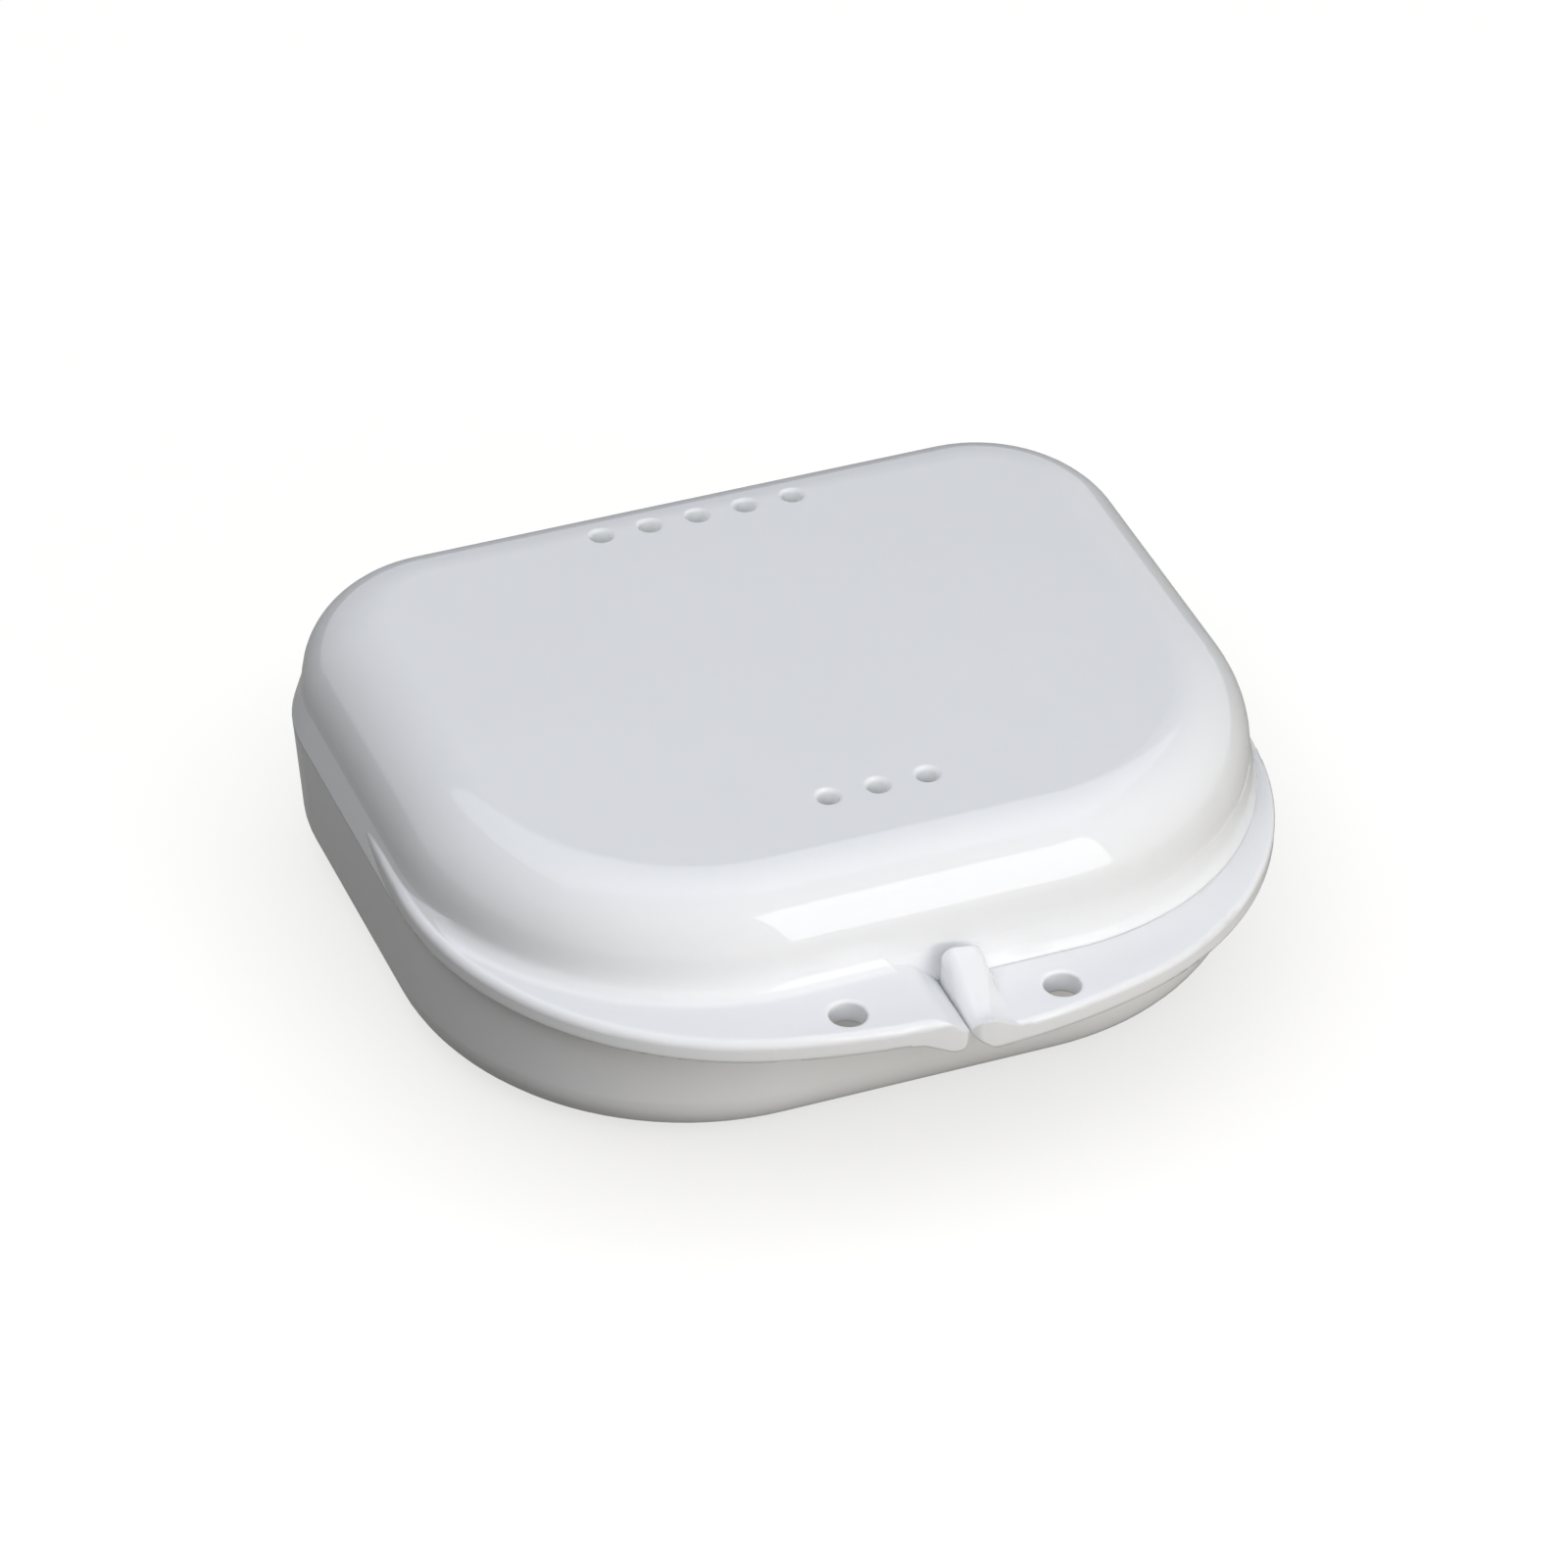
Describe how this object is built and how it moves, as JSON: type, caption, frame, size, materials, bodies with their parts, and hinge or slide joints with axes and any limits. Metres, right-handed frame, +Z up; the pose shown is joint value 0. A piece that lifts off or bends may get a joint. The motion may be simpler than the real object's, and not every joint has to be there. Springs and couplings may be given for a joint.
{
  "type": "retainer case",
  "caption": "Rounded clamshell case for a dental retainer, hinged at the back, with vents and a thumb wing with a lanyard hole on each half.",
  "frame": {"origin": "middle of the flat underside of the base", "axes": "+Z up, +Y towards the hinges, +X to the right as seen from the front, where the thumb wings are"},
  "size_m": [0.0868, 0.0839, 0.0274],
  "materials": {
    "white_plastic": "gloss",
    "pin_steel": "bright drawn"
  },
  "bodies": {
    "base": {"base_shell": "white_plastic", "hinge_pin_left": "pin_steel", "hinge_pin_right": "pin_steel"},
    "lid": {"lid_shell": "white_plastic"}
  },
  "joints": [
    {"name": "lid_hinge", "type": "hinge", "parent": "base", "child": "lid", "pos_m": [0, 0.0378, 0.0156], "axis": [-1, 0, 0], "range_deg": [0, 180]}
  ]
}
